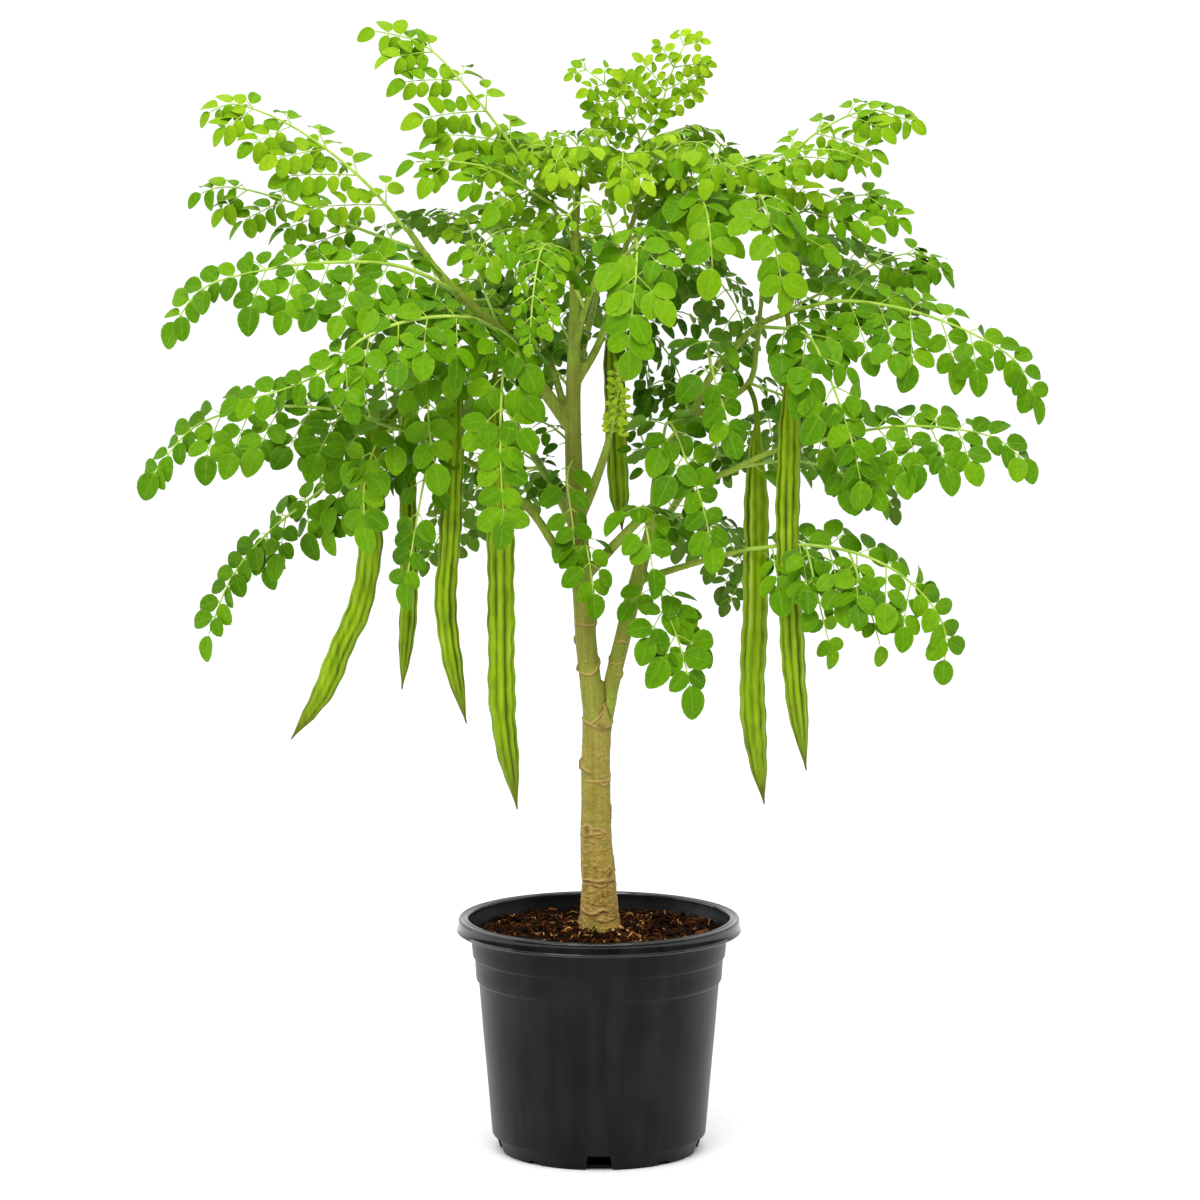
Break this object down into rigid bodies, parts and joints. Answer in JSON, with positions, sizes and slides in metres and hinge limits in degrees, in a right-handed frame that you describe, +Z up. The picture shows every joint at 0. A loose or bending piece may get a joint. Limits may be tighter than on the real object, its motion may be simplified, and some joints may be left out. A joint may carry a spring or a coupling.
{
  "type": "potted moringa tree",
  "caption": "Young moringa tree in a black nursery container: forked pale trunk, thin branches, long drooping compound leaves and slender ribbed hanging pods.",
  "frame": {"origin": "centre of the pot's underside, where it stands on the ground", "axes": "+Z up along the pot's axis, -Y towards the viewer of the picture, +X to the viewer's right"},
  "size_m": [0.8905, 0.5717, 1.1331],
  "materials": {
    "nursery_pot": "moulded, satin",
    "potting_mix": "loose coir and bark, matte",
    "bark": "smooth young bark, matte",
    "pod_skin": "ribbed green pod skin, satin",
    "leaf": "soft living leaf, satin"
  },
  "bodies": {
    "root": {"frond_back_1": "leaf", "frond_back_2": "leaf", "frond_back_3": "leaf", "frond_back_4": "leaf", "frond_back_5": "leaf", "frond_back_6": "leaf", "frond_back_7": "leaf", "frond_back_8": "leaf", "frond_front_1": "leaf", "frond_front_10": "leaf", "frond_front_11": "leaf", "frond_front_12": "leaf", "frond_front_13": "leaf", "frond_front_14": "leaf", "frond_front_15": "leaf", "frond_front_16": "leaf", "frond_front_2": "leaf", "frond_front_3": "leaf", "frond_front_4": "leaf", "frond_front_5": "leaf", "frond_front_6": "leaf", "frond_front_7": "leaf", "frond_front_8": "leaf", "frond_front_9": "leaf", "frond_inner_1": "leaf", "frond_inner_2": "leaf", "frond_inner_3": "leaf", "frond_left_1": "leaf", "frond_left_2": "leaf", "frond_left_3": "leaf", "frond_left_4": "leaf", "frond_left_5": "leaf", "frond_left_6": "leaf", "frond_left_7": "leaf", "frond_left_8": "leaf", "frond_right_1": "leaf", "frond_right_2": "leaf", "frond_right_3": "leaf", "frond_right_4": "leaf", "frond_right_5": "leaf", "frond_right_6": "leaf", "frond_right_7": "leaf", "frond_right_8": "leaf", "frond_top_1": "leaf", "frond_top_2": "leaf", "frond_top_3": "leaf", "frond_top_4": "leaf", "frond_top_5": "leaf", "frond_top_6": "leaf", "frond_top_7": "leaf", "pod_1": "pod_skin", "pod_2": "pod_skin", "pod_3": "pod_skin", "pod_4": "pod_skin", "pod_5": "pod_skin", "pod_6": "pod_skin", "pod_7": "pod_skin", "pot": "nursery_pot", "potting_mix": "potting_mix", "trunk_and_branches": "bark"}
  },
  "joints": []
}
